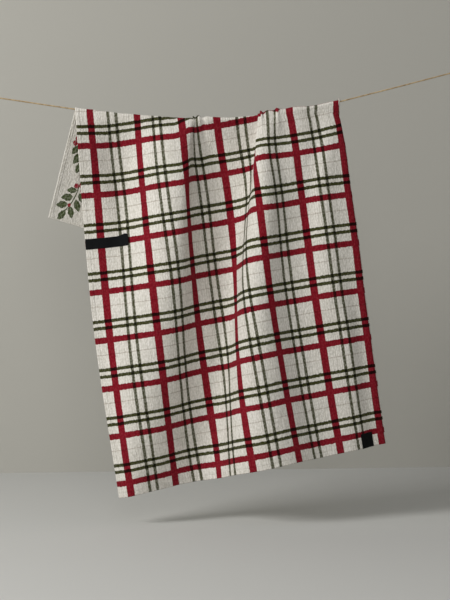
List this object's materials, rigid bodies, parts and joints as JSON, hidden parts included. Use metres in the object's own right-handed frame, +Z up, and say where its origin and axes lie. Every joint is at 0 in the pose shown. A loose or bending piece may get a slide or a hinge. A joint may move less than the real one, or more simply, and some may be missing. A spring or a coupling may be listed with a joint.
{
  "type": "tea towel on a twine line",
  "caption": "Checked cotton tea towel folded askew over a thin twine line, long front panel with soft plumb folds, short back flap, blank ribbon label and hem tag.",
  "frame": {"origin": "middle of the eye of the tied loop at the line's left end, where a hook or nail holds it", "axes": "+X to the right along the line, +Z up, the front of the towel faces -Y"},
  "size_m": [0.7247, 0.088, 0.6153],
  "materials": {
    "printed_cotton": "matt crinkled cotton, off-white with a red and green check in front and sprigs behind",
    "black_ribbon": "satin woven ribbon, blank",
    "natural_twine": "rough twisted twine"
  },
  "bodies": {
    "root": {"towel": "printed_cotton", "side_label": "black_ribbon", "corner_tag": "black_ribbon", "line": "natural_twine", "line_loop_left": "natural_twine", "line_loop_right": "natural_twine"}
  },
  "joints": []
}
